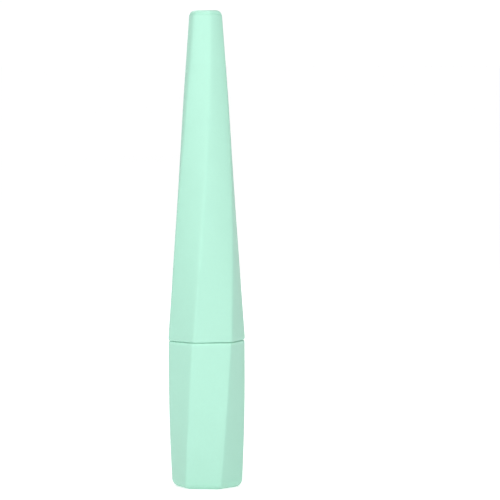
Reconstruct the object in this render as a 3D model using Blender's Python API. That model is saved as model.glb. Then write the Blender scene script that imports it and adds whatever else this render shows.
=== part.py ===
"""Liquid eyeliner: a twisted six-sided bottle with a long screw cap that carries the applicator.

Metres, +Z up. The eyeliner stands closed on its base; the origin is the middle of the base.
Every length in the constants below is in millimetres and is multiplied by MM where it is used.
Angles of facet edges are seen from the front: 0 faces the viewer (-Y), positive is to the right (+X).
"""
import math

import bmesh
import bpy

for _ob in list(bpy.data.objects):
    bpy.data.objects.remove(_ob, do_unlink=True)

MM = 0.001

# ---------------------------------------------------------------- driving dimensions (mm)
TOTAL_HEIGHT = 119.4
SEAM_Z = 36.6               # top rim of the bottle
SEAM_GAP = 0.3              # shadow line between bottle and cap
CAP_Z = SEAM_Z + SEAM_GAP   # mouth rim of the cap
CORNER = 0.55               # radius of the facet edges

# bottle outline: height above the base, radius to the facet edges, bulge of the facets
BOTTLE_STATIONS = ((0.0, 8.955, 0.03), (5.0, 9.168, 0.03), (12.0, 9.412, 0.04),
                   (20.0, 9.616, 0.05), (28.0, 9.722, 0.07), (36.6, 9.775, 0.09))
BOTTLE_EDGE_AT_SEAM = -20.7  # degrees
BOTTLE_TWIST = 0.39          # degrees per mm
BOTTLE_TWIST_GAIN = 0.0018   # degrees per mm squared, twist tightens downwards
BASE_FILLET = 1.9
RIM_ROUND = 0.35

# cap outline: height above its mouth, radius to the facet edges, bulge (0 flat facets, 1 round)
CAP_STATIONS = ((0.0, 9.928, 0.05), (12.7, 9.225, 0.13), (27.7, 8.362, 0.25), (42.7, 7.391, 0.28),
                (57.7, 6.282, 0.29), (72.7, 5.032, 0.24), (82.5, 4.226, 0.20))
CAP_EDGE_AT_MOUTH = -19.6    # degrees
CAP_TWIST = 0.46             # degrees per mm
CAP_TOP_ROUND = 1.45
CAP_WALL = 1.25
CAP_ROOF = 5.0               # solid nose above the hollow
MOUTH_ROUND = 0.65           # outer edge of the mouth
MOUTH_INNER_ROUND = 0.30     # inner edge of the mouth

# bottle shell, inside
SHELL_FLOOR = 1.8
SHELL_BORE_R = 6.6
COLLAR_SEAT_R = 7.05
COLLAR_SEAT_Z = 35.4
LABEL_RECESS_R = 3.8
LABEL_RECESS_DEPTH = 0.30
LABEL_R = 3.65
LABEL_THICK = 0.12
LABEL_GAP = 0.08

# vial
VIAL_R = 6.5
VIAL_BOTTOM = 1.9
VIAL_FLOOR = 3.0
VIAL_BORE_R = 5.5
COLLAR_R = 6.95
COLLAR_BOTTOM = 35.5
COLLAR_TOP = 37.3
NECK_R = 4.5
NECK_BORE_R = 3.5
NECK_TOP = 46.3

# thread, single start, right hand
LEAD = 2.4
THREAD_DEPTH = 0.65
THREAD_FOOT = 0.50           # half width at the foot
THREAD_CREST = 0.22          # half width at the crest
NECK_THREAD_Z = 41.9         # middle of the ridge where it starts
NECK_THREAD_ARC = 435.0      # degrees
LINER_THREAD_Z = NECK_THREAD_Z - 0.90
LINER_THREAD_ARC = 400.0
THREAD_START = 20.0          # degrees, where both ridges start

# wiper
WIPER_FLANGE_R = 4.35
WIPER_FLANGE_Z = (46.4, 47.1)
WIPER_BODY_R = 3.42
WIPER_LIP_Z = 37.6
WIPER_LIP_R = 1.80

# liner and gasket
LINER_BOTTOM = 37.6
LINER_CAVITY_R = 5.35
LINER_ROOF_Z = 48.1
LINER_SHOULDER_Z = 49.8
LINER_SOCKET_R = 3.3
LINER_TOP = 56.6
SOCKET_HOLE_R = 1.75
SOCKET_END_Z = 55.4
LINER_CLEAR = 0.12
GASKET_R = (1.88, 4.45)
GASKET_Z = (47.2, 48.0)

# applicator
STEM_R = 1.65
STEM_TOP = 55.2
STEM_END = 11.9
STEM_SHOULDER = 1.3
STEM_BORE_R = 0.82
STEM_BORE_DEPTH = 4.2
TIP_R = 0.72
TIP_END_R = 0.46
TIP_END = 5.7
TIP_LEAN = 0.42

# liquid
INK_LEVEL = 29.0
INK_HOLE_R = 1.85
INK_HOLE_END = 4.6

ROUND = 36                   # sides of the larger turned pieces
SIDE_ANGLES = (-30.0, -19.0, -9.0, -3.0, 3.0, 9.0, 19.0)   # samples about each facet edge


# ---------------------------------------------------------------- shape functions
def station(table, at, column):
    """Smooth value of one column of a station table, cubic between the stations."""
    xs = [row[0] for row in table]
    ys = [row[column] for row in table]
    last = len(xs) - 1
    i = 0
    while i < last - 1 and at > xs[i + 1]:
        i += 1

    def slope(k):
        if k == 0:
            return (ys[1] - ys[0]) / (xs[1] - xs[0])
        if k == last:
            return (ys[last] - ys[last - 1]) / (xs[last] - xs[last - 1])
        return (ys[k + 1] - ys[k - 1]) / (xs[k + 1] - xs[k - 1])

    h = xs[i + 1] - xs[i]
    t = (at - xs[i]) / h
    a = 2 * t ** 3 - 3 * t ** 2 + 1
    b = t ** 3 - 2 * t ** 2 + t
    c = -2 * t ** 3 + 3 * t ** 2
    d = t ** 3 - t ** 2
    return a * ys[i] + b * h * slope(i) + c * ys[i + 1] + d * h * slope(i + 1)


def bottle_edge(z):
    down = SEAM_Z - z
    return BOTTLE_EDGE_AT_SEAM - BOTTLE_TWIST * down - BOTTLE_TWIST_GAIN * down * down


def cap_edge(z):
    return CAP_EDGE_AT_MOUTH + CAP_TWIST * (z - CAP_Z)


def facet_radius(radius, bulge, psi):
    """Distance from the axis of a six-sided outline, psi radians away from its nearest edge."""
    soft = math.tan(math.pi / 6) / (radius / CORNER - 1.0)
    psi = math.sqrt(psi * psi + soft * soft)
    flat = radius * math.cos(math.pi / 6) / math.cos(math.pi / 6 - psi)
    return (1.0 - bulge) * flat + bulge * radius


def mid_facet(table, at):
    """Distance from the axis to the middle of a facet."""
    return facet_radius(station(table, at, 1), station(table, at, 2), math.pi / 6)


def angles_at(edge):
    """Direction of every sample of a section whose facet edge is at this angle."""
    out = []
    for side in range(6):
        for a in SIDE_ANGLES:
            out.append((math.radians(edge - 90.0 + 60.0 * side + a), math.radians(abs(a))))
    return out


def facet_ring(table, at, z, edge, inset=0.0, limit=None):
    """One six-sided ring; inset moves it inwards, limit keeps it inside a circle."""
    radius = station(table, at, 1)
    bulge = station(table, at, 2)
    ring = []
    for phi, psi in angles_at(edge):
        rho = facet_radius(radius, bulge, psi) - inset
        if limit is not None:
            rho = min(rho, limit)
        ring.append((rho * math.cos(phi), rho * math.sin(phi), z))
    return ring


def round_ring(radius, z, edge):
    return [(radius * math.cos(phi), radius * math.sin(phi), z) for phi, _ in angles_at(edge)]


def turned_ring(radius, z, sides=ROUND, phase=0.0, centre=(0.0, 0.0)):
    ring = []
    for i in range(sides):
        a = 2 * math.pi * i / sides + phase
        ring.append((centre[0] + radius * math.cos(a), centre[1] + radius * math.sin(a), z))
    return ring


# ---------------------------------------------------------------- mesh helpers
def material(name, colour, roughness, metallic=0.0):
    mat = bpy.data.materials.new(name)
    mat.use_nodes = True
    shader = mat.node_tree.nodes["Principled BSDF"]
    shader.inputs["Base Color"].default_value = (*colour, 1.0)
    shader.inputs["Roughness"].default_value = roughness
    shader.inputs["Metallic"].default_value = metallic
    mat.diffuse_color = (*colour, 1.0)
    return mat


def new_object(name, bm, mat, origin=(0.0, 0.0, 0.0)):
    """Make an object whose origin is at the given point (mm), mesh coordinates given in mm."""
    bmesh.ops.recalc_face_normals(bm, faces=bm.faces)
    for v in bm.verts:
        v.co.x = (v.co.x - origin[0]) * MM
        v.co.y = (v.co.y - origin[1]) * MM
        v.co.z = (v.co.z - origin[2]) * MM
    mesh = bpy.data.meshes.new(name)
    bm.to_mesh(mesh)
    bm.free()
    mesh.materials.append(mat)
    mesh.shade_smooth()
    mesh.set_sharp_from_angle(angle=math.radians(35.0))
    ob = bpy.data.objects.new(name, mesh)
    ob.location = [c * MM for c in origin]
    bpy.context.scene.collection.objects.link(ob)
    return ob


def loft(rings):
    """Closed skin through a chain of rings with equal counts; a one-point ring is a pole."""
    bm = bmesh.new()
    verts = [[bm.verts.new(p) for p in ring] for ring in rings]
    for a, b in zip(verts, verts[1:]):
        n = max(len(a), len(b))
        for i in range(n):
            j = (i + 1) % n
            if len(a) == 1:
                bm.faces.new((a[0], b[i], b[j]))
            elif len(b) == 1:
                bm.faces.new((a[i], a[j], b[0]))
            else:
                bm.faces.new((a[i], a[j], b[j], b[i]))
    return bm


def turned(profile, sides=ROUND, phase=0.0):
    """Turn a profile of (radius, z) that starts and ends on the axis, or closes on itself."""
    if profile[0][0] == 0.0:
        rings = [[(0.0, 0.0, z)] if r == 0.0 else turned_ring(r, z, sides, phase) for r, z in profile]
        return loft(rings)
    rings = [turned_ring(r, z, sides, phase) for r, z in profile]
    bm = bmesh.new()
    verts = [[bm.verts.new(p) for p in ring] for ring in rings]
    for a, b in zip(verts, verts[1:] + verts[:1]):
        for i in range(sides):
            j = (i + 1) % sides
            bm.faces.new((a[i], a[j], b[j], b[i]))
    return bm


def quarter(centre_r, centre_z, radius, start, stop, steps):
    """Points of an arc in the (radius, z) plane, angles in degrees."""
    out = []
    for i in range(steps + 1):
        a = math.radians(start + (stop - start) * i / steps)
        out.append((centre_r + radius * math.cos(a), centre_z + radius * math.sin(a)))
    return out


def helical_ridge(name, surface_r, outward, z0, arc, mat):
    """Thread ridge as its own solid: it grips the wall it is joined to and fades at both ends."""
    step = 360.0 / ROUND
    count = int(round(arc / step))
    grip = -0.25 if outward else 0.25
    sign = 1.0 if outward else -1.0
    bm = bmesh.new()
    rows = []
    for i in range(count + 1):
        deg = arc * i / count
        a = math.radians(THREAD_START + deg)
        z = z0 + LEAD * deg / 360.0
        fade = min(1.0, deg / 30.0, (arc - deg) / 30.0)
        fade = fade * fade * (3.0 - 2.0 * fade)
        crest = surface_r + sign * (THREAD_DEPTH * fade - 0.06 * (1.0 - fade))
        foot = surface_r + grip
        half_crest = THREAD_CREST * (0.5 + 0.5 * fade)
        section = ((foot, -THREAD_FOOT), (crest, -half_crest), (crest, half_crest), (foot, THREAD_FOOT))
        rows.append([bm.verts.new((r * math.cos(a), r * math.sin(a), z + dz)) for r, dz in section])
    for a, b in zip(rows, rows[1:]):
        for i in range(4):
            j = (i + 1) % 4
            bm.faces.new((a[i], a[j], b[j], b[i]))
    bm.faces.new(rows[0])
    bm.faces.new(list(reversed(rows[-1])))
    ob = new_object(name, bm, mat)
    ob.hide_render = True
    ob.display_type = "WIRE"
    return ob


def join_solid(ob, other):
    """Boolean union that stays on the object."""
    mod = ob.modifiers.new("thread", "BOOLEAN")
    mod.operation = "UNION"
    mod.solver = "EXACT"
    mod.object = other


# ---------------------------------------------------------------- materials
MINT = material("mint_soft_touch", (0.42, 0.74, 0.60), 0.50)
LINER_PLASTIC = material("liner_plastic", (0.38, 0.70, 0.56), 0.45)
VIAL_PLASTIC = material("vial_plastic", (0.80, 0.82, 0.80), 0.35)
WIPER_PLASTIC = material("wiper_plastic", (0.70, 0.72, 0.70), 0.40)
GASKET_FOAM = material("gasket_white", (0.85, 0.85, 0.83), 0.60)
STEM_BLACK = material("stem_black", (0.012, 0.012, 0.014), 0.30)
TIP_BLACK = material("tip_black", (0.010, 0.010, 0.012), 0.55)
INK_BLACK = material("ink_black", (0.004, 0.004, 0.005), 0.08)
LABEL_PAPER = material("label_white", (0.86, 0.86, 0.84), 0.60)


# ---------------------------------------------------------------- bottle shell
def bottle_shell():
    def ring(z, inset=0.0):
        return facet_ring(BOTTLE_STATIONS, z, z, bottle_edge(z), inset)

    rings = [[(0.0, 0.0, LABEL_RECESS_DEPTH)],
             round_ring(LABEL_RECESS_R, LABEL_RECESS_DEPTH, bottle_edge(0.0)),
             round_ring(LABEL_RECESS_R, 0.0, bottle_edge(0.0))]
    for i in range(6):                                   # rounded bottom edge
        a = math.radians(90.0 * i / 6)
        z = BASE_FILLET * (1.0 - math.cos(a))
        rings.append(ring(z, BASE_FILLET * (1.0 - math.sin(a))))
    top = SEAM_Z - RIM_ROUND
    rows = 14
    for i in range(rows + 1):
        rings.append(ring(BASE_FILLET + (top - BASE_FILLET) * i / rows))
    rings.append(ring(SEAM_Z - 0.3 * RIM_ROUND, 0.3 * RIM_ROUND))
    rings.append(ring(SEAM_Z, RIM_ROUND))
    edge = bottle_edge(SEAM_Z)
    rings.append(round_ring(COLLAR_SEAT_R, SEAM_Z, edge))
    rings.append(round_ring(COLLAR_SEAT_R, COLLAR_SEAT_Z, edge))
    rings.append(round_ring(SHELL_BORE_R, COLLAR_SEAT_Z, edge))
    rings.append(round_ring(SHELL_BORE_R, SHELL_FLOOR + 0.8, edge))
    rings.append(round_ring(SHELL_BORE_R - 0.25, SHELL_FLOOR + 0.25, edge))
    rings.append(round_ring(SHELL_BORE_R - 0.8, SHELL_FLOOR, edge))
    rings.append([(0.0, 0.0, SHELL_FLOOR)])
    return new_object("bottle_shell", loft(rings), MINT)


# ---------------------------------------------------------------- cap shell
def cap_shell():
    length = TOTAL_HEIGHT - CAP_Z

    def ring(z, inset=0.0):
        return facet_ring(CAP_STATIONS, z - CAP_Z, z, cap_edge(z), inset)

    hollow_end = TOTAL_HEIGHT - CAP_ROOF
    rings = [[(0.0, 0.0, hollow_end)]]
    rings.append(ring(hollow_end, CAP_WALL + 1.0))
    rings.append(ring(hollow_end - 0.6, CAP_WALL + 0.35))
    inside = 12                                          # hollow, from its end down to the mouth
    z_from = hollow_end - 1.6
    z_to = CAP_Z + MOUTH_INNER_ROUND
    for i in range(inside + 1):
        rings.append(ring(z_from + (z_to - z_from) * i / inside, CAP_WALL))
    rings.append(ring(CAP_Z, CAP_WALL - MOUTH_INNER_ROUND))
    for i in range(3):                                   # rounded outer edge of the mouth
        a = math.radians(90.0 * i / 3)
        rings.append(ring(CAP_Z + MOUTH_ROUND * (1.0 - math.cos(a)), MOUTH_ROUND * (1.0 - math.sin(a))))
    outside = 20
    z_from = CAP_Z + MOUTH_ROUND
    z_to = TOTAL_HEIGHT - CAP_TOP_ROUND
    for i in range(outside + 1):
        rings.append(ring(z_from + (z_to - z_from) * i / outside))
    for i in range(1, 5):                                # rounded edge of the flat top
        a = math.radians(90.0 * i / 4)
        z = z_to + CAP_TOP_ROUND * math.sin(a)
        rings.append(ring(min(z, CAP_Z + length), CAP_TOP_ROUND * (1.0 - math.cos(a))))
    rings.append([(0.0, 0.0, TOTAL_HEIGHT)])
    return new_object("cap_shell", loft(rings), MINT, (0.0, 0.0, CAP_Z))


# ---------------------------------------------------------------- vial
def vial():
    profile = [(0.0, VIAL_FLOOR), (VIAL_BORE_R - 0.9, VIAL_FLOOR),
               (VIAL_BORE_R - 0.26, VIAL_FLOOR + 0.26), (VIAL_BORE_R, VIAL_FLOOR + 0.9),
               (VIAL_BORE_R, 33.4), (VIAL_BORE_R - 0.45, 34.4), (NECK_BORE_R + 0.45, 35.6),
               (NECK_BORE_R, 36.4), (NECK_BORE_R, NECK_TOP),
               (NECK_R - 0.2, NECK_TOP), (NECK_R, NECK_TOP - 0.2), (NECK_R, COLLAR_TOP),
               (COLLAR_R - 0.25, COLLAR_TOP), (COLLAR_R, COLLAR_TOP - 0.25), (COLLAR_R, COLLAR_BOTTOM),
               (VIAL_R, COLLAR_BOTTOM), (VIAL_R, VIAL_BOTTOM + 1.0),
               (VIAL_R - 0.29, VIAL_BOTTOM + 0.29), (VIAL_R - 1.0, VIAL_BOTTOM), (0.0, VIAL_BOTTOM)]
    body = new_object("vial", turned(profile), VIAL_PLASTIC)
    ridge = helical_ridge("neck_thread_cut", NECK_R, True, NECK_THREAD_Z, NECK_THREAD_ARC, VIAL_PLASTIC)
    join_solid(body, ridge)
    return body


# ---------------------------------------------------------------- wiper
def wiper():
    z0, z1 = WIPER_FLANGE_Z
    profile = [(2.75, z1), (WIPER_FLANGE_R - 0.15, z1), (WIPER_FLANGE_R, z1 - 0.15), (WIPER_FLANGE_R, z0),
               (WIPER_BODY_R, z0), (WIPER_BODY_R, 40.3), (WIPER_LIP_R + 0.55, WIPER_LIP_Z + 0.3),
               (WIPER_LIP_R + 0.35, WIPER_LIP_Z), (WIPER_LIP_R, WIPER_LIP_Z), (WIPER_LIP_R, WIPER_LIP_Z + 0.5),
               (2.72, 40.5), (2.72, z1 - 1.2)]
    return new_object("wiper", turned(profile, 32), WIPER_PLASTIC)


# ---------------------------------------------------------------- liquid
def ink():
    profile = [(0.0, INK_HOLE_END), (INK_HOLE_R * 0.6, INK_HOLE_END), (INK_HOLE_R, INK_HOLE_END + 0.6),
               (INK_HOLE_R, INK_LEVEL), (VIAL_BORE_R - 0.12, INK_LEVEL), (VIAL_BORE_R - 0.12, VIAL_FLOOR + 1.0),
               (VIAL_BORE_R - 0.38, VIAL_FLOOR + 0.38), (VIAL_BORE_R - 1.0, VIAL_FLOOR + 0.12),
               (0.0, VIAL_FLOOR + 0.12)]
    return new_object("ink", turned(profile, 32), INK_BLACK)


# ---------------------------------------------------------------- label
def base_label():
    top = LABEL_RECESS_DEPTH - LABEL_GAP
    bottom = top - LABEL_THICK
    profile = [(0.0, top), (LABEL_R, top), (LABEL_R, bottom), (0.0, bottom)]
    return new_object("base_label", turned(profile, 32), LABEL_PAPER)


# ---------------------------------------------------------------- cap liner
def cap_liner():
    def outer(z):
        return mid_facet(CAP_STATIONS, z - CAP_Z) - CAP_WALL - LINER_CLEAR

    profile = [(0.0, SOCKET_END_Z), (SOCKET_HOLE_R, SOCKET_END_Z), (SOCKET_HOLE_R, LINER_ROOF_Z),
               (LINER_CAVITY_R, LINER_ROOF_Z), (LINER_CAVITY_R, LINER_BOTTOM + 0.5),
               (LINER_CAVITY_R + 0.4, LINER_BOTTOM)]
    rows = 5
    for i in range(rows + 1):
        z = LINER_BOTTOM + (LINER_SHOULDER_Z - LINER_BOTTOM) * i / rows
        profile.append((outer(z), z))
    profile += [(LINER_SOCKET_R + 0.5, LINER_SHOULDER_Z), (LINER_SOCKET_R, LINER_SHOULDER_Z + 0.5),
                (LINER_SOCKET_R, LINER_TOP - 0.3), (LINER_SOCKET_R - 0.3, LINER_TOP), (0.0, LINER_TOP)]
    body = new_object("cap_liner", turned(profile), LINER_PLASTIC, (0.0, 0.0, CAP_Z))
    ridge = helical_ridge("liner_thread_cut", LINER_CAVITY_R, False, LINER_THREAD_Z, LINER_THREAD_ARC,
                          LINER_PLASTIC)
    join_solid(body, ridge)
    return body


# ---------------------------------------------------------------- gasket
def cap_gasket():
    r0, r1 = GASKET_R
    z0, z1 = GASKET_Z
    profile = [(r0, z0), (r0, z1), (r1 - 0.1, z1), (r1, z1 - 0.1), (r1, z0 + 0.1), (r1 - 0.1, z0)]
    return new_object("cap_gasket", turned(profile, 32), GASKET_FOAM, (0.0, 0.0, z0))


# ---------------------------------------------------------------- applicator
def applicator_stem():
    shoulder = quarter(STEM_R - STEM_SHOULDER * 0.6, STEM_END + STEM_SHOULDER, 1.0, 0.0, -90.0, 4)
    curve = [(STEM_R - STEM_SHOULDER * 0.6 + (r - (STEM_R - STEM_SHOULDER * 0.6)) * STEM_SHOULDER * 0.6,
              STEM_END + STEM_SHOULDER + (z - STEM_END - STEM_SHOULDER) * STEM_SHOULDER) for r, z in shoulder]
    bore_end = STEM_END + STEM_BORE_DEPTH
    profile = [(0.0, STEM_TOP), (STEM_R - 0.2, STEM_TOP), (STEM_R, STEM_TOP - 0.2)]
    profile += [(STEM_R, 45.0), (STEM_R, 30.0)] + curve[:-1]
    profile += [(curve[-1][0], STEM_END), (STEM_BORE_R, STEM_END + 0.02), (STEM_BORE_R, bore_end), (0.0, bore_end)]
    return new_object("applicator_stem", turned(profile, 24), STEM_BLACK, (0.0, 0.0, STEM_TOP))


def applicator_tip():
    sides = 16
    root_top = STEM_END + STEM_BORE_DEPTH - 0.15
    rings = [[(0.0, 0.0, root_top)], turned_ring(TIP_R - 0.1, root_top, sides),
             turned_ring(TIP_R, root_top - 0.15, sides), turned_ring(TIP_R, STEM_END, sides)]
    rows = 8
    for i in range(1, rows + 1):                        # free length, leaning a little to one side
        t = i / rows
        z = STEM_END + (TIP_END + 0.12 - STEM_END) * t
        r = TIP_R + (TIP_END_R - TIP_R) * t
        rings.append(turned_ring(r, z, sides, 0.0, (TIP_LEAN * t * t, 0.0)))
    rings.append(turned_ring(TIP_END_R - 0.12, TIP_END, sides, 0.0, (TIP_LEAN, 0.0)))
    rings.append([(TIP_LEAN, 0.0, TIP_END)])
    return new_object("applicator_tip", loft(rings), TIP_BLACK, (0.0, 0.0, STEM_END))


bottle_shell()
vial()
wiper()
ink()
base_label()
cap_shell()
cap_liner()
cap_gasket()
applicator_stem()
applicator_tip()
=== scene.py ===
"""Looks of the closed liquid eyeliner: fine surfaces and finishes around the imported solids."""

import math

import bmesh
import bpy
from mathutils import Matrix, Vector, noise


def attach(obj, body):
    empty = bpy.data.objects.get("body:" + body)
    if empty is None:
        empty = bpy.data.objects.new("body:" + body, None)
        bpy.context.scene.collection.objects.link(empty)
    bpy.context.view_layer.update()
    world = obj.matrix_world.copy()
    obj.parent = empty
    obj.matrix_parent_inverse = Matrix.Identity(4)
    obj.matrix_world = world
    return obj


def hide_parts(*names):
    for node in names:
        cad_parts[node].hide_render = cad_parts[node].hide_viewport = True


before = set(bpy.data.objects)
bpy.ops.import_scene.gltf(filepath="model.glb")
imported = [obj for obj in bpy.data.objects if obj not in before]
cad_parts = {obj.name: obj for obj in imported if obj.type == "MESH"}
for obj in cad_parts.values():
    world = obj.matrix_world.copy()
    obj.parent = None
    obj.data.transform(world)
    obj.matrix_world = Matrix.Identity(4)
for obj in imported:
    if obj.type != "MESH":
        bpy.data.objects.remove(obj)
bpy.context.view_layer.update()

MM = 0.001

# ---------------------------------------------------------------- dimensions (mm), as in the model
TOTAL_HEIGHT = 119.4
SEAM_Z = 36.6
SEAM_GAP = 0.3
RIM_REACH = 0.135                             # each rim comes this much closer in the fine model
CAP_Z = SEAM_Z + SEAM_GAP
CORNER = 0.55
CAP_CORNER = (0.62, 0.78, 0.95)               # at its mouth, middle and top: the cap's facet edges get softer
BOTTLE_STATIONS = ((0.0, 8.955, 0.03), (5.0, 9.168, 0.03), (12.0, 9.412, 0.04),
                   (20.0, 9.616, 0.05), (28.0, 9.722, 0.07), (36.6, 9.775, 0.09))
BOTTLE_EDGE_AT_SEAM = -20.7
BOTTLE_TWIST = 0.39
BOTTLE_TWIST_GAIN = 0.0018
BASE_FILLET = 1.9
CAP_STATIONS = ((0.0, 9.928, 0.05), (12.7, 9.225, 0.13), (27.7, 8.362, 0.25), (42.7, 7.391, 0.28),
                (57.7, 6.282, 0.29), (72.7, 5.032, 0.24), (82.5, 4.226, 0.20))
CAP_EDGE_AT_MOUTH = -19.6
CAP_TWIST = 0.46
CAP_TOP_ROUND = 1.45
TOP_LINE = (0.98, 0.05, 0.12)                 # fine groove around the cap's top: how far down, half width, depth
CAP_WALL = 1.25
CAP_ROOF = 5.0
RIM_ROUND = 0.35
MOUTH_ROUND = 0.65
MOUTH_INNER_ROUND = 0.32
SHELL_FLOOR = 1.8
SHELL_BORE_R = 6.6
COLLAR_SEAT_R = 7.05
COLLAR_SEAT_Z = 35.4
LABEL_RECESS_R = 3.8
LABEL_RECESS_DEPTH = 0.30
LABEL_R = 3.65
LABEL_THICK = 0.12
LABEL_GAP = 0.08
VIAL_R = 6.5
VIAL_BOTTOM = 1.9
VIAL_FLOOR = 3.0
VIAL_BORE_R = 5.5
COLLAR_R = 6.95
COLLAR_BOTTOM = 35.5
COLLAR_TOP = 37.3
NECK_R = 4.5
NECK_BORE_R = 3.5
NECK_TOP = 46.3
LEAD = 2.4
THREAD_DEPTH = 0.65
THREAD_FOOT = 0.50
THREAD_CREST = 0.22
NECK_THREAD_Z = 41.9
NECK_THREAD_ARC = 435.0
LINER_THREAD_Z = NECK_THREAD_Z - 0.90
LINER_THREAD_ARC = 400.0
THREAD_START = 20.0
WIPER_FLANGE_R = 4.35
WIPER_FLANGE_Z = (46.4, 47.1)
WIPER_BODY_R = 3.42
WIPER_LIP_Z = 37.6
WIPER_LIP_R = 1.80
LINER_BOTTOM = 37.6
LINER_CAVITY_R = 5.35
LINER_ROOF_Z = 48.1
LINER_SHOULDER_Z = 49.8
LINER_SOCKET_R = 3.3
LINER_TOP = 56.6
SOCKET_HOLE_R = 1.75
SOCKET_END_Z = 55.4
LINER_CLEAR = 0.12
GASKET_R = (1.88, 4.45)
GASKET_Z = (47.2, 48.0)
STEM_R = 1.65
STEM_TOP = 55.2
STEM_END = 11.9
STEM_BORE_R = 0.82
TIP_R = 0.72
TIP_END_R = 0.46
TIP_END = 5.7
TIP_LEAN = 0.42
INK_LEVEL = 29.0
INK_HOLE_R = 1.85
INK_HOLE_END = 4.6


# ---------------------------------------------------------------- shape functions
def smooth(t):
    t = max(0.0, min(1.0, t))
    return t * t * (3.0 - 2.0 * t)


def station(table, at, column):
    xs = [row[0] for row in table]
    ys = [row[column] for row in table]
    last = len(xs) - 1
    i = 0
    while i < last - 1 and at > xs[i + 1]:
        i += 1

    def slope(k):
        if k == 0:
            return (ys[1] - ys[0]) / (xs[1] - xs[0])
        if k == last:
            return (ys[last] - ys[last - 1]) / (xs[last] - xs[last - 1])
        return (ys[k + 1] - ys[k - 1]) / (xs[k + 1] - xs[k - 1])

    h = xs[i + 1] - xs[i]
    t = (at - xs[i]) / h
    return ((2 * t ** 3 - 3 * t ** 2 + 1) * ys[i] + (t ** 3 - 2 * t ** 2 + t) * h * slope(i)
            + (-2 * t ** 3 + 3 * t ** 2) * ys[i + 1] + (t ** 3 - t ** 2) * h * slope(i + 1))


def bottle_edge(z):
    down = SEAM_Z - z
    return BOTTLE_EDGE_AT_SEAM - BOTTLE_TWIST * down - BOTTLE_TWIST_GAIN * down * down


def cap_edge(z):
    return CAP_EDGE_AT_MOUTH + CAP_TWIST * (z - CAP_Z)


def facet_radius(radius, bulge, psi, corner=CORNER):
    soft = math.tan(math.pi / 6) / (radius / corner - 1.0)
    psi = math.sqrt(psi * psi + soft * soft)
    flat = radius * math.cos(math.pi / 6) / math.cos(math.pi / 6 - psi)
    return (1.0 - bulge) * flat + bulge * radius


HALF = 11                                     # samples on each side of a facet edge, closer together at the edge
SIDE_ANGLES = [math.copysign(30.0 * abs(i / HALF) ** 1.7, i) for i in range(-HALF, HALF)]
SIDES_N = 6 * len(SIDE_ANGLES)


def angles_at(edge):
    out = []
    for side in range(6):
        for a in SIDE_ANGLES:
            out.append((math.radians(edge - 90.0 + 60.0 * side + a), math.radians(abs(a))))
    return out


def facet_ring(table, at, z, edge, inset=0.0, corner=CORNER):
    radius = station(table, at, 1)
    bulge = station(table, at, 2)
    beside = math.radians(5.0)                # the outline keeps its width whatever the corner
    keep = facet_radius(radius, bulge, beside) / facet_radius(radius, bulge, beside, corner)
    ring = []
    for phi, psi in angles_at(edge):
        rho = facet_radius(radius, bulge, psi, corner) * keep - inset
        ring.append((rho * math.cos(phi), rho * math.sin(phi), z))
    return ring


def round_ring(radius, z, edge):
    return [(radius * math.cos(phi), radius * math.sin(phi), z) for phi, _ in angles_at(edge)]


def arc(centre_r, centre_z, radius, start, stop, steps):
    """Points of an arc in the (radius, z) plane, both ends included, angles in degrees."""
    out = []
    for i in range(steps + 1):
        a = math.radians(start + (stop - start) * i / steps)
        out.append((centre_r + radius * math.cos(a), centre_z + radius * math.sin(a)))
    return out


def straight(a, b, steps):
    """Points between a and b, both ends left out."""
    return [(a[0] + (b[0] - a[0]) * i / steps, a[1] + (b[1] - a[1]) * i / steps) for i in range(1, steps)]


# ---------------------------------------------------------------- mesh helpers
def build(name, rings, closed=False, wear_and_highlight=None):
    """Skin through a chain of rings with equal counts; one-point rings are poles. The per-point function gives each
    point a value of real wear together with painted highlight.
    """
    bm = bmesh.new()
    layer = bm.verts.layers.float.new("wear_and_highlight")
    verts = []
    for k, ring in enumerate(rings):
        row = []
        for i, p in enumerate(ring):
            v = bm.verts.new((p[0] * MM, p[1] * MM, p[2] * MM))
            v[layer] = wear_and_highlight(k, i, p) if wear_and_highlight else 0.0
            row.append(v)
        verts.append(row)
    pairs = list(zip(verts, verts[1:] + (verts[:1] if closed else [])))
    if not closed:
        pairs = list(zip(verts, verts[1:]))
    for a, b in pairs:
        n = max(len(a), len(b))
        for i in range(n):
            j = (i + 1) % n
            if len(a) == 1:
                bm.faces.new((a[0], b[i], b[j]))
            elif len(b) == 1:
                bm.faces.new((a[i], a[j], b[0]))
            else:
                bm.faces.new((a[i], a[j], b[j], b[i]))
    bmesh.ops.recalc_face_normals(bm, faces=bm.faces)
    mesh = bpy.data.meshes.new(name)
    bm.to_mesh(mesh)
    bm.free()
    mesh.shade_smooth()
    ob = bpy.data.objects.new(name, mesh)
    bpy.context.scene.collection.objects.link(ob)
    return ob


def turned(name, profile, sides=96, radial=None, closed=False, wear_and_highlight=None, lift=None):
    """Turn a profile of (radius, z); radial(angle, r, z) may add to the radius, lift(angle, r, z) to the height."""
    rings = []
    for r, z in profile:
        if r == 0.0:
            rings.append([(0.0, 0.0, z)])
            continue
        ring = []
        for i in range(sides):
            a = 2 * math.pi * i / sides
            rr = r + (radial(a, r, z) if radial else 0.0)
            ring.append((rr * math.cos(a), rr * math.sin(a), z + (lift(a, r, z) if lift else 0.0)))
        rings.append(ring)
    return build(name, rings, closed, wear_and_highlight)


def ridge_height(a, z, z0, arc_deg):
    """Height of the thread ridge at this angle and height: trapezoid across, faded at both ends."""
    deg0 = (math.degrees(a) - THREAD_START) % 360.0
    best = 0.0
    turns = int(arc_deg // 360) + 1
    for k in range(turns + 1):
        deg = deg0 + 360.0 * k
        if deg > arc_deg:
            continue
        off = abs(z - (z0 + LEAD * deg / 360.0))
        fade = smooth(min(deg / 30.0, (arc_deg - deg) / 30.0))
        h = THREAD_DEPTH * fade * smooth((THREAD_FOOT + 0.04 - off) / (THREAD_FOOT - THREAD_CREST + 0.08))
        best = max(best, h)
    return best


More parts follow.
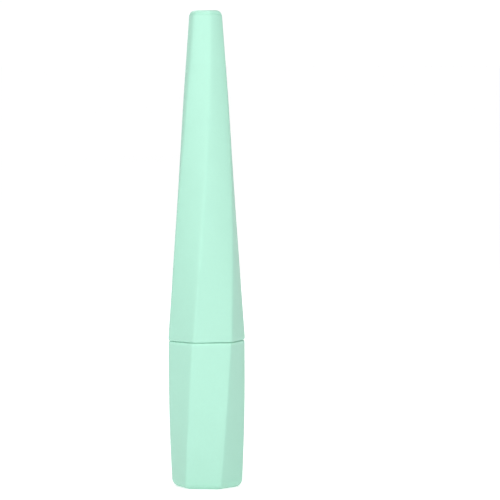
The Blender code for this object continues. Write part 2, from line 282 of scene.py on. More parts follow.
# ---------------------------------------------------------------- materials
class Graph:
    """Short names for building a material's nodes."""

    def __init__(self, name):
        self.mat = bpy.data.materials.new(name)
        self.mat.use_nodes = True
        self.tree = self.mat.node_tree
        self.shader = self.tree.nodes["Principled BSDF"]
        self.coord = self.tree.nodes.new("ShaderNodeTexCoord")

    def link(self, a, b):
        self.tree.links.new(a, b)

    def mapped(self, scale=(1.0, 1.0, 1.0)):
        m = self.tree.nodes.new("ShaderNodeMapping")
        m.inputs["Scale"].default_value = scale
        self.link(self.coord.outputs["Object"], m.inputs["Vector"])
        return m.outputs["Vector"]

    def noise(self, scale, detail=2.0, rough=0.5, vector=None, distortion=0.0):
        n = self.tree.nodes.new("ShaderNodeTexNoise")
        n.inputs["Scale"].default_value = scale
        n.inputs["Detail"].default_value = detail
        n.inputs["Roughness"].default_value = rough
        n.inputs["Distortion"].default_value = distortion
        self.link(vector or self.coord.outputs["Object"], n.inputs["Vector"])
        return n.outputs["Fac"]

    def remap(self, value, a, b, c, d):
        m = self.tree.nodes.new("ShaderNodeMapRange")
        m.clamp = True
        for key, v in (("From Min", a), ("From Max", b), ("To Min", c), ("To Max", d)):
            m.inputs[key].default_value = v
        self.link(value, m.inputs["Value"])
        return m.outputs["Result"]

    def math(self, kind, a, b=0.0):
        m = self.tree.nodes.new("ShaderNodeMath")
        m.operation = kind
        for i, v in enumerate((a, b)):
            if isinstance(v, (int, float)):
                m.inputs[i].default_value = v
            else:
                self.link(v, m.inputs[i])
        return m.outputs[0]

    def mix(self, fac, a, b, kind="MIX"):
        m = self.tree.nodes.new("ShaderNodeMix")
        m.data_type = "RGBA"
        m.blend_type = kind
        ins = {"f": m.inputs[0], "a": m.inputs[6], "b": m.inputs[7]}
        for key, v in (("f", fac), ("a", a), ("b", b)):
            if isinstance(v, (int, float)):
                ins[key].default_value = v
            elif isinstance(v, tuple):
                ins[key].default_value = (*v, 1.0) if len(v) == 3 else v
            else:
                self.link(v, ins[key])
        return m.outputs[2]

    def attribute(self, name):
        n = self.tree.nodes.new("ShaderNodeAttribute")
        n.attribute_name = name
        return n.outputs["Fac"]

    def axis(self, which):
        s = self.tree.nodes.new("ShaderNodeSeparateXYZ")
        self.link(self.coord.outputs["Object"], s.inputs[0])
        return s.outputs[which]

    def bump(self, height, distance, strength=1.0, normal=None):
        b = self.tree.nodes.new("ShaderNodeBump")
        b.inputs["Strength"].default_value = strength
        b.inputs["Distance"].default_value = distance
        self.link(height, b.inputs["Height"])
        if normal is not None:
            self.link(normal, b.inputs["Normal"])
        return b.outputs["Normal"]

    def finish(self, colour=None, roughness=None, normal=None, **fixed):
        if colour is not None:
            self.link(colour, self.shader.inputs["Base Color"])
        if roughness is not None:
            self.link(roughness, self.shader.inputs["Roughness"])
        if normal is not None:
            self.link(normal, self.shader.inputs["Normal"])
        for key, v in fixed.items():
            self.shader.inputs[key.replace("_", " ")].default_value = v
        return self.mat


def shade(colour, k):
    return tuple(min(1.0, c * k) for c in colour)


MINT = (0.380, 0.676, 0.547)


def mint_shell_material(name, base):
    g = Graph(name)
    broad = g.noise(160.0, 2.0, 0.5)                         # 5 mm clouds in the coating
    mottled = g.noise(1500.0, 3.0, 0.6)                      # 0.5 mm mottling
    colour = g.mix(g.remap(broad, 0.3, 0.7, 0.0, 1.0), shade(base, 0.988), shade(base, 1.010))
    colour = g.mix(g.remap(mottled, 0.35, 0.65, 0.0, 0.5), colour, shade(base, 0.975))
    # the per-point value lightens the colour: partly real rubbing, partly painted highlight on rims, facet edges and
    # the cap's top rounding
    worn_and_highlit = g.math("MULTIPLY", g.attribute("wear_and_highlight"), g.remap(g.noise(420.0, 3.0, 0.6), 0.35, 0.7, 0.35, 1.0))
    colour = g.mix(g.math("MULTIPLY", worn_and_highlit, 0.60), colour, shade(base, 1.14))
    height = g.axis("Z")                                     # painted shade: darker towards the foot it stands on, darkest in its lowest 1.5 mm
    colour = g.mix(g.remap(height, 4.0 * MM, 24.0 * MM, 1.0, 0.0), colour, (0.969, 0.969, 0.969), "MULTIPLY")
    colour = g.mix(g.remap(height, 0.1 * MM, 1.5 * MM, 1.0, 0.0), colour, (0.93, 0.93, 0.93), "MULTIPLY")
    rough = g.math("ADD", g.remap(mottled, 0.3, 0.7, 0.40, 0.48), g.math("MULTIPLY", worn_and_highlit, -0.10))
    peel = g.bump(g.noise(1100.0, 2.0, 0.5), 0.000010, 0.8)   # soft coating, faint orange peel
    grain = g.bump(g.noise(9000.0, 2.0, 0.6), 0.0000035, 0.9, peel)
    return g.finish(colour, rough, grain, Specular_IOR_Level=0.15)


def moulded_material(name, base, low, high, rough, stain=None, sss=0.0):
    """Plain moulded plastic with flow marks; stain=(z from, z to) blackens it with dried liquid between the heights."""
    g = Graph(name)
    flow = g.noise(260.0, 3.0, 0.6, g.mapped((1.0, 1.0, 0.25)))
    colour = g.mix(g.remap(flow, 0.3, 0.7, 0.0, 1.0), shade(base, low), shade(base, high))
    roughness = g.remap(g.noise(700.0, 3.0, 0.6), 0.3, 0.7, rough - 0.05, rough + 0.06)
    if stain:
        z = g.axis("Z")
        z = g.math("ADD", z, g.math("MULTIPLY", g.math("SUBTRACT", g.noise(900.0, 4.0, 0.6), 0.5), 0.0016))
        mask = g.remap(z, stain[0] * MM, stain[1] * MM, 1.0, 0.0)
        thin = g.remap(g.noise(1600.0, 4.0, 0.65), 0.38, 0.62, 0.45, 1.0)
        mask = g.math("MULTIPLY", mask, thin)
        colour = g.mix(mask, colour, (0.012, 0.012, 0.014))
        roughness = g.math("SUBTRACT", roughness, g.math("MULTIPLY", mask, 0.18))
    normal = g.bump(g.noise(3200.0, 3.0, 0.6), 0.000006, 0.7)
    mat = g.finish(colour, roughness, normal, Specular_IOR_Level=0.45)
    if sss:
        g.shader.inputs["Subsurface Weight"].default_value = sss
        g.shader.inputs["Subsurface Radius"].default_value = (0.0016, 0.0018, 0.0016)
        g.shader.inputs["Subsurface Scale"].default_value = 0.6
    return mat


def wet_black_material(name):
    """Black plastic with liquid run down it in long lighter streaks, which are runs of liquid and painted highlight
    streaks along the rod, and dried grains towards the tip.
    """
    g = Graph(name)
    streak_and_highlight = g.noise(1500.0, 2.0, 0.5, g.mapped((1.0, 1.0, 0.025)), 0.2)
    grain = g.noise(4200.0, 3.0, 0.65, g.mapped((1.0, 1.0, 0.5)))
    low = g.remap(g.axis("Z"), 14.0 * MM, 26.0 * MM, 1.0, 0.25)
    # lighter streaks: painted highlight along the rod, laid out as runs of liquid
    colour = g.mix(g.remap(streak_and_highlight, 0.42, 0.60, 0.0, 1.0), (0.009, 0.009, 0.010), (0.052, 0.052, 0.055))
    speck = g.math("MULTIPLY", g.remap(grain, 0.45, 0.62, 0.0, 1.0), low)
    colour = g.mix(g.math("MULTIPLY", speck, 0.45), colour, (0.046, 0.046, 0.050))
    rough = g.remap(streak_and_highlight, 0.40, 0.60, 0.42, 0.28)
    film = g.bump(g.noise(700.0, 3.0, 0.6, g.mapped((1.0, 1.0, 0.22))), 0.000040, 0.7)
    fine = g.bump(grain, 0.000008, 0.8, film)
    return g.finish(colour, rough, fine, Specular_IOR_Level=0.06)


def felt_material(name):
    g = Graph(name)
    fibre = g.noise(5200.0, 4.0, 0.65, g.mapped((1.0, 1.0, 0.07)))
    colour = g.mix(g.remap(fibre, 0.35, 0.65, 0.0, 1.0), (0.008, 0.008, 0.009), (0.030, 0.030, 0.033))
    rough = g.remap(g.noise(1400.0, 3.0, 0.6), 0.35, 0.65, 0.34, 0.62)
    normal = g.bump(fibre, 0.000030, 0.8)
    return g.finish(colour, rough, normal, Specular_IOR_Level=0.12)


def liquid_material(name):
    g = Graph(name)
    swirl = g.noise(300.0, 2.0, 0.5)
    colour = g.mix(g.remap(swirl, 0.3, 0.7, 0.0, 1.0), (0.003, 0.003, 0.004), (0.006, 0.006, 0.007))
    rough = g.remap(swirl, 0.3, 0.7, 0.05, 0.10)
    normal = g.bump(g.noise(220.0, 1.0, 0.4), 0.000012, 0.5)
    return g.finish(colour, rough, normal, Specular_IOR_Level=0.5)


def paper_material(name):
    g = Graph(name)
    fibre = g.noise(2600.0, 5.0, 0.7, g.mapped((1.0, 0.35, 1.0)), 0.6)
    tone = g.noise(380.0, 2.0, 0.5)
    colour = g.mix(g.remap(fibre, 0.3, 0.7, 0.0, 1.0), (0.80, 0.80, 0.77), (0.90, 0.90, 0.885))
    colour = g.mix(g.remap(tone, 0.4, 0.7, 0.0, 0.35), colour, (0.84, 0.82, 0.76))
    rough = g.remap(fibre, 0.3, 0.7, 0.60, 0.74)
    normal = g.bump(fibre, 0.000008, 0.7)
    return g.finish(colour, rough, normal, Specular_IOR_Level=0.35)


def foam_material(name):
    g = Graph(name)
    cells = g.noise(4800.0, 3.0, 0.7)
    colour = g.mix(g.remap(cells, 0.35, 0.65, 0.0, 1.0), (0.72, 0.72, 0.70), (0.86, 0.86, 0.84))
    rough = g.remap(cells, 0.3, 0.7, 0.55, 0.75)
    normal = g.bump(cells, 0.000020, 0.8)
    return g.finish(colour, rough, normal, Specular_IOR_Level=0.35)


M_CAP_MINT = mint_shell_material("mint_soft_touch_cap", MINT)
M_BOTTLE_MINT_PAINTED_LIGHTER = mint_shell_material("mint_soft_touch_bottle_painted_lighter", shade(MINT, 1.010))      # painted light: a 1% brighter copy of the cap's mint, so the bottle's facets read lighter
M_LINER = moulded_material("liner_plastic", (0.40, 0.70, 0.57), 0.96, 1.03, 0.42)
M_VIAL = moulded_material("vial_plastic", (0.64, 0.67, 0.65), 0.97, 1.03, 0.34, sss=0.35)
M_WIPER = moulded_material("wiper_plastic", (0.66, 0.68, 0.66), 0.96, 1.03, 0.36, stain=(41.0, 45.8), sss=0.25)
M_GASKET = foam_material("gasket_white")
M_STEM = wet_black_material("stem_wet_black")
M_TIP = felt_material("tip_soaked_fibre")
M_INK = liquid_material("ink_black")
M_LABEL = paper_material("label_paper")


def place(ob, mat, body, node):
    ob.data.materials.append(mat)
    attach(ob, body)
    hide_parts(node)
    return ob


# ---------------------------------------------------------------- bottle shell
def bottle_shell():
    rings, marks = [], []

    def add(ring, mark=0.0):
        rings.append(ring)
        marks.append(mark)

    def ring(z, inset=0.0):
        return facet_ring(BOTTLE_STATIONS, z, z, bottle_edge(z), inset)

    e0 = bottle_edge(0.0)
    add([(0.0, 0.0, LABEL_RECESS_DEPTH)])
    for r in (1.2, 2.4, LABEL_RECESS_R - 0.12, LABEL_RECESS_R - 0.03):
        add(round_ring(r, LABEL_RECESS_DEPTH, e0))
    add(round_ring(LABEL_RECESS_R, LABEL_RECESS_DEPTH - 0.04, e0))
    add(round_ring(LABEL_RECESS_R, 0.09, e0))
    for r, z in arc(LABEL_RECESS_R + 0.08, 0.08, 0.08, 180.0, 270.0, 4)[1:]:
        add(round_ring(r, z, e0), 0.3)
    add(round_ring(LABEL_RECESS_R + 0.16, 0.0, e0))
    add(ring(0.0, BASE_FILLET + 0.12))
    steps = 16
    for i in range(steps):
        a = math.radians(90.0 * i / steps)
        add(ring(BASE_FILLET * (1.0 - math.cos(a)), BASE_FILLET * (1.0 - math.sin(a))))
    seam = SEAM_Z + RIM_REACH
    top = seam - RIM_ROUND
    rows = 90
    for i in range(rows + 1):
        add(ring(BASE_FILLET + (top - BASE_FILLET) * i / rows))
    # rim rounding: its marks lighten it as painted highlight, with some real rubbing
    steps = 7
    for i in range(1, steps + 1):
        a = math.radians(90.0 * i / steps)
        add(ring(top + RIM_ROUND * math.sin(a), RIM_ROUND * (1.0 - math.cos(a))), math.sin(a))
    e1 = bottle_edge(SEAM_Z)
    add(ring(seam, RIM_ROUND + 0.08), 0.4)
    add(round_ring(COLLAR_SEAT_R + 0.10, seam, e1))
    add(round_ring(COLLAR_SEAT_R + 0.03, seam - 0.02, e1))
    add(round_ring(COLLAR_SEAT_R, seam - 0.10, e1))
    add(round_ring(COLLAR_SEAT_R, COLLAR_SEAT_Z + 0.05, e1))
    add(round_ring(COLLAR_SEAT_R - 0.05, COLLAR_SEAT_Z, e1))
    add(round_ring(SHELL_BORE_R + 0.05, COLLAR_SEAT_Z, e1))
    add(round_ring(SHELL_BORE_R, COLLAR_SEAT_Z - 0.05, e1))
    rows = 12
    for i in range(rows + 1):
        add(round_ring(SHELL_BORE_R, COLLAR_SEAT_Z - 0.2 + (SHELL_FLOOR + 0.8 - COLLAR_SEAT_Z + 0.2) * i / rows, e1))
    for r, z in arc(SHELL_BORE_R - 0.8, SHELL_FLOOR + 0.8, 0.8, 0.0, -90.0, 5)[1:]:
        add(round_ring(r, z, e1))
    add(round_ring(2.5, SHELL_FLOOR, e1))
    add([(0.0, 0.0, SHELL_FLOOR)])
    angles = angles_at(0.0)

    # per-point value: the faint lightening along facet edges and the strong lightening at the rim are painted
    # highlight, partly real rubbing
    def wear_and_highlight(k, i, p):
        if len(rings[k]) == 1:
            return 0.0
        outer = math.hypot(p[0], p[1]) > SHELL_BORE_R + 0.6
        edge = math.exp(-(math.degrees(angles[i][1]) / 1.6) ** 2) if outer else 0.0
        rim = smooth((p[2] - SEAM_Z + 0.75) / 0.45) if outer else 0.0       # painted highlight along the top of the wall under the rim, with some real rubbing by the cap
        return max(0.15 * edge, 1.6 * rim, marks[k])

    return build("bottle_shell_body", rings, wear_and_highlight=wear_and_highlight)


place(bottle_shell(), M_BOTTLE_MINT_PAINTED_LIGHTER, "bottle", "bottle_shell")


# ---------------------------------------------------------------- cap shell
def cap_shell():
    rings, marks = [], []

    def add(ring, mark=0.0):
        rings.append(ring)
        marks.append(mark)

    def ring(z, inset=0.0):
        corner = (CAP_CORNER[0] + (CAP_CORNER[1] - CAP_CORNER[0]) * smooth((z - CAP_Z) / 14.0)
                  + (CAP_CORNER[2] - CAP_CORNER[1]) * smooth((z - CAP_Z - 45.0) / 20.0))
        return facet_ring(CAP_STATIONS, z - CAP_Z, z, cap_edge(z), inset, corner)

    mouth = CAP_Z - RIM_REACH
    hollow_end = TOTAL_HEIGHT - CAP_ROOF
    add([(0.0, 0.0, hollow_end)])
    add(ring(hollow_end, CAP_WALL + 1.0))
    add(ring(hollow_end - 0.25, CAP_WALL + 0.55))
    add(ring(hollow_end - 0.7, CAP_WALL + 0.2))
    rows = 50
    z_from = hollow_end - 1.6
    z_to = mouth + MOUTH_INNER_ROUND
    for i in range(rows + 1):
        add(ring(z_from + (z_to - z_from) * i / rows, CAP_WALL))
    # mouth roundings: lightened a little through their marks, painted highlight with some real rubbing
    steps = 6
    for i in range(1, steps + 1):
        a = math.radians(90.0 * i / steps)
        add(ring(mouth + MOUTH_INNER_ROUND * (1.0 - math.sin(a)),
                 CAP_WALL - MOUTH_INNER_ROUND * (1.0 - math.cos(a))), 0.4)
    steps = 9
    for i in range(steps):
        a = math.radians(90.0 * i / steps)
        add(ring(mouth + MOUTH_ROUND * (1.0 - math.cos(a)), MOUTH_ROUND * (1.0 - math.sin(a))),
            0.15 * math.cos(a) ** 2)
    rows = 170
    z_from = mouth + MOUTH_ROUND
    z_to = TOTAL_HEIGHT - CAP_TOP_ROUND
    for i in range(rows + 1):
        add(ring(z_from + (z_to - z_from) * i / rows))
    # top rounding: the more it faces up, the lighter it is made, as painted highlight
    steps = 22
    heights = [CAP_TOP_ROUND * math.sin(math.radians(90.0 * i / steps)) for i in range(1, steps + 1)]
    line = CAP_TOP_ROUND - TOP_LINE[0]
    heights = [h for h in heights if abs(h - line) > 0.12] + [line + 0.02 * k for k in range(-5, 6)]
    for h in sorted(heights):
        up = min(1.0, h / CAP_TOP_ROUND)
        near = math.exp(-((h - line) / TOP_LINE[1]) ** 2)
        add(ring(z_to + h, CAP_TOP_ROUND * (1.0 - math.sqrt(1.0 - up * up)) + TOP_LINE[2] * near),
            2.2 * up ** 1.5 * (1.0 - near))
    for inset, mark in ((0.10, 1.8), (0.30, 1.2), (0.60, 0.5), (1.20, 0.15)):     # painted highlight of the top rounding carried onto the flat top, fading inwards, with some real rubbing at its rim
        add(ring(TOTAL_HEIGHT, CAP_TOP_ROUND + inset), mark)
    add([(0.0, 0.0, TOTAL_HEIGHT)])
    angles = angles_at(0.0)

    def wear_and_highlight(k, i, p):
        if len(rings[k]) == 1 or k < 54:
            return 0.0
        at = p[2] - CAP_Z
        grip_highlight = smooth((at - 9.0) / 14.0) * smooth((46.0 - at) / 14.0)       # where the cap is held: its facet edges get painted highlight as well as real polish
        edge = math.exp(-(math.degrees(angles[i][1]) / (1.8 + 1.7 * grip_highlight)) ** 2)
        return max((0.10 + 0.26 * grip_highlight) * edge, marks[k])

    return build("cap_shell_body", rings, wear_and_highlight=wear_and_highlight)


place(cap_shell(), M_CAP_MINT, "cap", "cap_shell")


# ---------------------------------------------------------------- vial with threaded neck
def vial():
    profile = [(0.0, VIAL_FLOOR), (2.4, VIAL_FLOOR)]
    profile += arc(VIAL_BORE_R - 0.9, VIAL_FLOOR + 0.9, 0.9, -90.0, 0.0, 6)
    profile += straight(profile[-1], (VIAL_BORE_R, 33.0), 8)
    profile += [(VIAL_BORE_R, 33.0), (VIAL_BORE_R - 0.12, 33.8), (VIAL_BORE_R - 0.5, 34.5),
                (NECK_BORE_R + 0.5, 35.5), (NECK_BORE_R + 0.12, 36.0), (NECK_BORE_R, 36.7)]
    profile += straight(profile[-1], (NECK_BORE_R, NECK_TOP - 0.12), 6)
    profile += arc(NECK_BORE_R + 0.12, NECK_TOP - 0.12, 0.12, 180.0, 90.0, 3)
    profile += arc(NECK_R - 0.22, NECK_TOP - 0.22, 0.22, 90.0, 0.0, 5)
    profile += straight(profile[-1], (NECK_R, COLLAR_TOP + 0.35), 92)
    profile += arc(NECK_R + 0.35, COLLAR_TOP + 0.35, 0.35, 180.0, 270.0, 5)
    profile += straight(profile[-1], (COLLAR_R - 0.28, COLLAR_TOP), 3)
    profile += arc(COLLAR_R - 0.28, COLLAR_TOP - 0.28, 0.28, 90.0, 0.0, 5)
    profile += [(COLLAR_R, COLLAR_BOTTOM + 0.08), (COLLAR_R - 0.08, COLLAR_BOTTOM),
                (VIAL_R + 0.08, COLLAR_BOTTOM), (VIAL_R, COLLAR_BOTTOM - 0.08)]
    profile += straight(profile[-1], (VIAL_R, VIAL_BOTTOM + 1.0), 8)
    profile += arc(VIAL_R - 1.0, VIAL_BOTTOM + 1.0, 1.0, 0.0, -90.0, 6)
    profile += [(2.5, VIAL_BOTTOM), (0.0, VIAL_BOTTOM)]

    def radial(a, r, z):
        if abs(r - NECK_R) > 1e-6 or z < COLLAR_TOP + 0.3:
            return 0.0
        return ridge_height(a, z, NECK_THREAD_Z, NECK_THREAD_ARC)

    return turned("vial_body", profile, 96, radial)


place(vial(), M_VIAL, "bottle", "vial")


# ---------------------------------------------------------------- wiper
def wiper():
    z0, z1 = WIPER_FLANGE_Z
    profile = arc(2.72 + 0.14, z1 - 0.14, 0.14, 180.0, 90.0, 4)
    profile += straight(profile[-1], (WIPER_FLANGE_R - 0.16, z1), 3)
    profile += arc(WIPER_FLANGE_R - 0.16, z1 - 0.16, 0.16, 90.0, 0.0, 4)
    profile += [(WIPER_FLANGE_R, z0 + 0.05), (WIPER_FLANGE_R - 0.05, z0), (WIPER_BODY_R + 0.06, z0),
                (WIPER_BODY_R, z0 - 0.06)]
    profile += straight(profile[-1], (WIPER_BODY_R, 40.4), 6)
    profile += [(WIPER_BODY_R, 40.4), (WIPER_BODY_R - 0.10, 40.1), (WIPER_LIP_R + 0.62, WIPER_LIP_Z + 0.5)]
    profile += arc(WIPER_LIP_R + 0.27, WIPER_LIP_Z + 0.27, 0.27, -10.0, -170.0, 7)
    profile += [(WIPER_LIP_R, WIPER_LIP_Z + 0.55), (WIPER_LIP_R + 0.10, WIPER_LIP_Z + 0.8)]
    profile += straight(profile[-1], (2.62, 40.3), 4)
    profile += [(2.62, 40.3), (2.70, 40.7), (2.72, 41.2)]
    profile += straight(profile[-1], (2.72, z1 - 0.2), 5)
    return turned("wiper_body", profile, 80, closed=True)


place(wiper(), M_WIPER, "bottle", "wiper")


# ---------------------------------------------------------------- liquid
def ink():
    outer = VIAL_BORE_R - 0.12
    profile = [(0.0, INK_HOLE_END), (INK_HOLE_R * 0.5, INK_HOLE_END)]
    profile += arc(INK_HOLE_R - 0.6, INK_HOLE_END + 0.6, 0.6, -90.0, 0.0, 5)
    profile += straight(profile[-1], (INK_HOLE_R, INK_LEVEL), 10)
    span = outer - INK_HOLE_R
    for i in range(15):                                   # meniscus: climbs both walls
        t = i / 14
        r = INK_HOLE_R + span * t
        climb = 0.42 * (math.exp(-t * span / 0.55) + math.exp(-(1 - t) * span / 0.55))
        profile.append((r, INK_LEVEL + climb))
    profile += straight((outer, INK_LEVEL), (outer, VIAL_FLOOR + 1.0), 8)
    profile += arc(outer - 0.88, VIAL_FLOOR + 1.0, 0.88, 0.0, -90.0, 6)
    profile += [(2.0, VIAL_FLOOR + 0.12), (0.0, VIAL_FLOOR + 0.12)]
    return turned("ink_liquid", profile, 72)


place(ink(), M_INK, "bottle", "ink")


# ---------------------------------------------------------------- label
def base_label():
    top = LABEL_RECESS_DEPTH - LABEL_GAP
    low = top - LABEL_THICK

    def wave(r, a):
        return 0.018 * math.sin(3 * a + 0.6) * (r / LABEL_R) ** 6

    rings = [[(0.0, 0.0, top)]]
    for r in (1.2, 2.4, 3.2, LABEL_R - 0.03):
        rings.append([(r * math.cos(2 * math.pi * i / 96), r * math.sin(2 * math.pi * i / 96),
                       top + wave(r, 2 * math.pi * i / 96)) for i in range(96)])
    for r, z in ((LABEL_R, top - 0.03), (LABEL_R, low + 0.03), (LABEL_R - 0.03, low), (3.2, low), (2.4, low), (1.2, low)):
        rings.append([(r * math.cos(2 * math.pi * i / 96), r * math.sin(2 * math.pi * i / 96),
                       z + wave(r, 2 * math.pi * i / 96)) for i in range(96)])
    rings.append([(0.0, 0.0, low)])
    return build("base_label_disc", rings)


place(base_label(), M_LABEL, "bottle", "base_label")


# ---------------------------------------------------------------- cap liner
def cap_liner():
    def outer(z):
        at = z - CAP_Z
        return (facet_radius(station(CAP_STATIONS, at, 1), station(CAP_STATIONS, at, 2), math.pi / 6)
                - CAP_WALL - LINER_CLEAR)

    profile = [(0.0, SOCKET_END_Z), (SOCKET_HOLE_R - 0.1, SOCKET_END_Z), (SOCKET_HOLE_R, SOCKET_END_Z - 0.1)]
    profile += straight(profile[-1], (SOCKET_HOLE_R, LINER_ROOF_Z + 0.1), 6)
    profile += [(SOCKET_HOLE_R, LINER_ROOF_Z + 0.1), (SOCKET_HOLE_R + 0.1, LINER_ROOF_Z)]
    profile += straight(profile[-1], (LINER_CAVITY_R - 0.2, LINER_ROOF_Z), 4)
    profile += arc(LINER_CAVITY_R - 0.2, LINER_ROOF_Z - 0.2, 0.2, 90.0, 0.0, 4)
    profile += straight(profile[-1], (LINER_CAVITY_R, LINER_BOTTOM + 0.5), 100)
    profile += [(LINER_CAVITY_R, LINER_BOTTOM + 0.5), (LINER_CAVITY_R + 0.33, LINER_BOTTOM + 0.08),
                (LINER_CAVITY_R + 0.42, LINER_BOTTOM)]
    r0 = outer(LINER_BOTTOM)
    profile += straight(profile[-1], (r0 - 0.15, LINER_BOTTOM), 3)
    profile += [(r0 - 0.15, LINER_BOTTOM), (r0 - 0.04, LINER_BOTTOM + 0.04), (r0, LINER_BOTTOM + 0.15)]
    rows = 14
    for i in range(1, rows + 1):
        z = LINER_BOTTOM + 0.15 + (LINER_SHOULDER_Z - 0.2 - LINER_BOTTOM - 0.15) * i / rows
        profile.append((outer(z), z))
    r1 = outer(LINER_SHOULDER_Z)
    profile += [(r1 - 0.15, LINER_SHOULDER_Z)]
    profile += straight(profile[-1], (LINER_SOCKET_R + 0.5, LINER_SHOULDER_Z), 3)
    profile += arc(LINER_SOCKET_R + 0.5, LINER_SHOULDER_Z + 0.5, 0.5, 270.0, 180.0, 4)
    profile += straight(profile[-1], (LINER_SOCKET_R, LINER_TOP - 0.3), 4)
    profile += arc(LINER_SOCKET_R - 0.3, LINER_TOP - 0.3, 0.3, 0.0, 90.0, 4)
    profile += [(1.5, LINER_TOP), (0.0, LINER_TOP)]

    def radial(a, r, z):
        if abs(r - LINER_CAVITY_R) > 1e-6:
            return 0.0
        return -ridge_height(a, z, LINER_THREAD_Z, LINER_THREAD_ARC)

    return turned("cap_liner_body", profile, 96, radial)


place(cap_liner(), M_LINER, "cap", "cap_liner")


# ---------------------------------------------------------------- gasket
def cap_gasket():
    r0, r1 = GASKET_R
    z0, z1 = GASKET_Z
    c = 0.12
    profile = (arc(r0 + c, z0 + c, c, 270.0, 180.0, 3) + arc(r0 + c, z1 - c, c, 180.0, 90.0, 3)
               + straight((r0 + c, z1), (r1 - c, z1), 4) + arc(r1 - c, z1 - c, c, 90.0, 0.0, 3)
               + arc(r1 - c, z0 + c, c, 0.0, -90.0, 3) + straight((r1 - c, z0), (r0 + c, z0), 4))
    return turned("cap_gasket_ring", profile, 72, closed=True)


place(cap_gasket(), M_GASKET, "seal_washer", "cap_gasket")


# ---------------------------------------------------------------- applicator stem, wet with liquid
def stem():
    film_top = 40.0
    bore_end = STEM_END + 4.2
    end = STEM_END + 0.55                                  # frayed end, one lobe of it hangs lower
    rs = STEM_R - 0.03
    end_r = STEM_BORE_R + 0.10
    profile = [(0.0, STEM_TOP), (STEM_R - 0.25, STEM_TOP), (STEM_R - 0.07, STEM_TOP - 0.07), (rs, STEM_TOP - 0.25)]
    profile += straight(profile[-1], (rs, 40.0), 12)
    profile += [(rs, 40.0)]
    profile += straight(profile[-1], (rs, end + 1.5), 130)
    for i in range(17):                                    # rounded shoulder down to the socket of the tip
        a = math.radians(90.0 * i / 16)
        profile.append((end_r + (rs - end_r) * math.cos(a), end + 1.5 - 1.5 * math.sin(a)))
    profile += [(STEM_BORE_R + 0.03, end), (STEM_BORE_R, end + 0.05), (STEM_BORE_R, end + 1.0),
                (STEM_BORE_R, bore_end), (0.0, bore_end)]

    lumps = ((0.0, 23.4, 0.10, 22.0, 0.9), (180.0, 14.4, 0.09, 30.0, 1.2), (-10.0, 15.2, 0.06, 24.0, 1.1),
             (75.0, 18.8, 0.05, 20.0, 1.3), (-95.0, 28.0, 0.05, 22.0, 1.5), (150.0, 19.5, 0.04, 20.0, 1.4))

    def radial(a, r, z):
        if z > film_top or r <= STEM_BORE_R + 0.05:
            return 0.0
        fade = smooth((film_top - z) / 6.0) * smooth((r - STEM_BORE_R) / 0.3)
        p = Vector((math.cos(a) * 1.9, math.sin(a) * 1.9, z * 0.16))
        film = 0.030 * noise.noise(p) + 0.014 * noise.noise(p * 2.7 + Vector((5.0, 1.0, 2.0)))
        for deg, lz, h, wa, wz in lumps:
            da = (math.degrees(a) - deg + 180.0) % 360.0 - 180.0
            film += h * math.exp(-(da / wa) ** 2 - ((z - lz) / wz) ** 2)
        return fade * min(film, 0.11)

    def lift(a, r, z):
        if r <= STEM_BORE_R + 0.05:
            return 0.0
        near = smooth((end + 3.4 - z) / 3.2)
        lobe = math.exp(-((math.degrees(a) - 182.0) / 44.0) ** 2)
        ragged = 0.16 * noise.noise(Vector((math.cos(a) * 2.6, math.sin(a) * 2.6, 4.0)))
        return near * (ragged - 1.0 * lobe)

    return turned("applicator_stem_rod", profile, 72, radial, lift=lift)


place(stem(), M_STEM, "stem", "applicator_stem")


# ---------------------------------------------------------------- applicator tip
def tip():
    root_top = STEM_END + 4.05
    rows = 46
    rings = [[(0.0, 0.0, root_top)]]
    sides = 40

    def centre(z):
        t = max(0.0, (STEM_END - z) / (STEM_END - TIP_END))
        return TIP_LEAN * 1.12 * (1.0 - (1.0 - t) ** 2.6)

    def radius(z):
        t = max(0.0, (STEM_END - z) / (STEM_END - TIP_END))
        return TIP_R + (TIP_END_R - TIP_R) * t

    def ring(r, z, rag=0.0):
        pts = []
        for i in range(sides):
            a = 2 * math.pi * i / sides
            groove = 0.016 * math.cos(9 * a + 0.4 * z) + 0.010 * math.cos(17 * a - 0.7 * z)
            t = smooth((STEM_END - z) / 0.8)
            rr = r + t * groove * (r / TIP_R)
            pts.append((centre(z) + rr * math.cos(a), rr * math.sin(a), z + rag * math.cos(5 * a + 1.0)))
        return pts

    rings.append(ring(TIP_R - 0.12, root_top))
    rings.append(ring(TIP_R - 0.03, root_top - 0.04))
    rings.append(ring(TIP_R, root_top - 0.15))
    rings.append(ring(TIP_R, STEM_END + 1.0))
    for i in range(rows + 1):
        z = STEM_END + (TIP_END + 0.20 - STEM_END) * i / rows
        rings.append(ring(radius(z), z))
    rings.append(ring(TIP_END_R - 0.05, TIP_END + 0.10, 0.02))
    rings.append(ring(TIP_END_R - 0.15, TIP_END + 0.03, 0.03))
    rings.append(ring(TIP_END_R - 0.30, TIP_END + 0.01, 0.01))
    rings.append([(centre(TIP_END), 0.0, TIP_END + 0.01)])
    return build("applicator_tip_fibre", rings)


place(tip(), M_TIP, "cap", "applicator_tip")


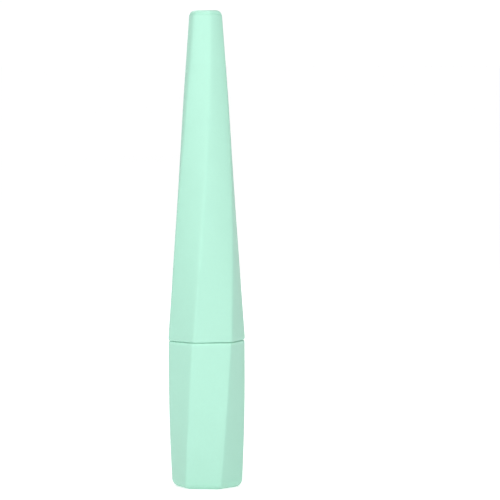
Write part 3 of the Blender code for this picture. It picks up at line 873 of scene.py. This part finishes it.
# ---------------------------------------------------------------- floor
def floor():
    bm = bmesh.new()
    size = 30.0
    steps = 12
    rows = []
    for j in range(steps + 1):
        rows.append([bm.verts.new((size * (2 * i / steps - 1), size * (2 * j / steps - 1), 0.0)) for i in range(steps + 1)])
    for a, b in zip(rows, rows[1:]):
        for i in range(steps):
            bm.faces.new((a[i], a[i + 1], b[i + 1], b[i]))
    mesh = bpy.data.meshes.new("studio_floor")
    bm.to_mesh(mesh)
    bm.free()
    ob = bpy.data.objects.new("studio_floor", mesh)
    bpy.context.scene.collection.objects.link(ob)
    g = Graph("studio_floor_white")
    colour = g.mix(g.remap(g.noise(3.0, 2.0), 0.3, 0.7, 0.0, 1.0), (0.82, 0.82, 0.82), (0.84, 0.84, 0.84))
    g.finish(colour, None, None, Roughness=0.9, Specular_IOR_Level=0.0)
    g.shader.inputs["Emission Color"].default_value = (1.0, 1.0, 1.0, 1.0)     # pale table lit from below
    g.shader.inputs["Emission Strength"].default_value = 0.48
    mesh.materials.append(g.mat)


floor()


# ---------------------------------------------------------------- light
def spherical(azimuth, elevation):
    """Direction towards a lamp: azimuth 0 is in front, positive to the right."""
    a, e = math.radians(azimuth), math.radians(elevation)
    return Vector((math.cos(e) * math.sin(a), -math.cos(e) * math.cos(a), math.sin(e)))


def lamp(name, data, where, towards):
    ob = bpy.data.objects.new(name, data)
    ob.location = where
    ob.rotation_euler = towards.to_track_quat("-Z", "Y").to_euler()
    ob.visible_camera = False
    bpy.context.scene.collection.objects.link(ob)
    return ob


def area(name, azimuth, elevation, distance, aim_z, size, power):
    data = bpy.data.lights.new(name, "AREA")
    data.shape = "RECTANGLE"
    data.size, data.size_y = size
    data.energy = power
    way = spherical(azimuth, elevation)
    return lamp(name, data, Vector((0.0, 0.0, aim_z)) + distance * way, -way)


def sky(name, azimuth, elevation, spread, strength):
    """Broad soft light from far away, spread degrees across."""
    data = bpy.data.lights.new(name, "SUN")
    data.angle = math.radians(spread)
    data.energy = strength
    way = spherical(azimuth, elevation)
    return lamp(name, data, way, -way)


def studio_world():
    """White surround, brighter near the horizon."""
    world = bpy.data.worlds.new("studio_world")
    bpy.context.scene.world = world
    world.use_nodes = True
    tree = world.node_tree
    surround = tree.nodes["Background"]
    surround.inputs["Color"].default_value = (1.0, 1.0, 1.0, 1.0)
    coord = tree.nodes.new("ShaderNodeTexCoord")
    part = tree.nodes.new("ShaderNodeSeparateXYZ")
    fade = tree.nodes.new("ShaderNodeMapRange")
    fade.interpolation_type = "SMOOTHSTEP"
    tree.links.new(coord.outputs["Generated"], part.inputs[0])
    tree.links.new(part.outputs[2], fade.inputs["Value"])
    for key, v in (("From Min", 0.03), ("From Max", 0.09), ("To Min", 1.03), ("To Max", 0.28)):
        fade.inputs[key].default_value = v
    tree.links.new(fade.outputs[0], surround.inputs["Strength"])


studio_world()
sky("ceiling_soft", 0.0, 89.0, 50.0, 1.10)
area("left_panel", -40.0, 16.0, 0.80, 0.06, (0.26, 0.42), 0.93)
area("middle_panel", 0.0, 16.0, 0.80, 0.06, (0.26, 0.42), 0.04)
area("right_panel", 40.0, 16.0, 0.80, 0.06, (0.26, 0.42), 0.70)
area("close_left_panel", -20.0, 35.0, 0.40, 0.09, (0.16, 0.16), 0.35)
area("close_right_panel", 10.0, 35.0, 0.40, 0.09, (0.16, 0.16), 0.43)
area("back_panel", -172.0, 20.0, 0.80, 0.06, (0.20, 0.42), 0.60)

bpy.context.scene.view_settings.view_transform = "Standard"
bpy.context.scene.view_settings.look = "None"


# ---------------------------------------------------------------- camera
DISTANCE = 0.90                                # in front of the object's axis
HEIGHT = 0.1085                                # above the floor: the base is seen from above, the flat top edge-on
AIM = Vector((0.01092, 0.0, 0.05945))
cam_data = bpy.data.cameras.new("camera")
cam_data.sensor_width = 36.0
cam_data.clip_start = 0.05
cam_data.clip_end = 120.0
cam = bpy.data.objects.new("camera", cam_data)
bpy.context.scene.collection.objects.link(cam)
spot = Vector((AIM.x, -DISTANCE, HEIGHT))
cam_data.lens = 36.0 * (AIM - spot).length / 0.12523
look = (AIM - spot).to_track_quat("-Z", "Y").to_matrix().to_4x4()
cam.matrix_world = Matrix.Translation(spot) @ look @ Matrix.Rotation(math.radians(-0.16), 4, "Z")
bpy.context.scene.camera = cam
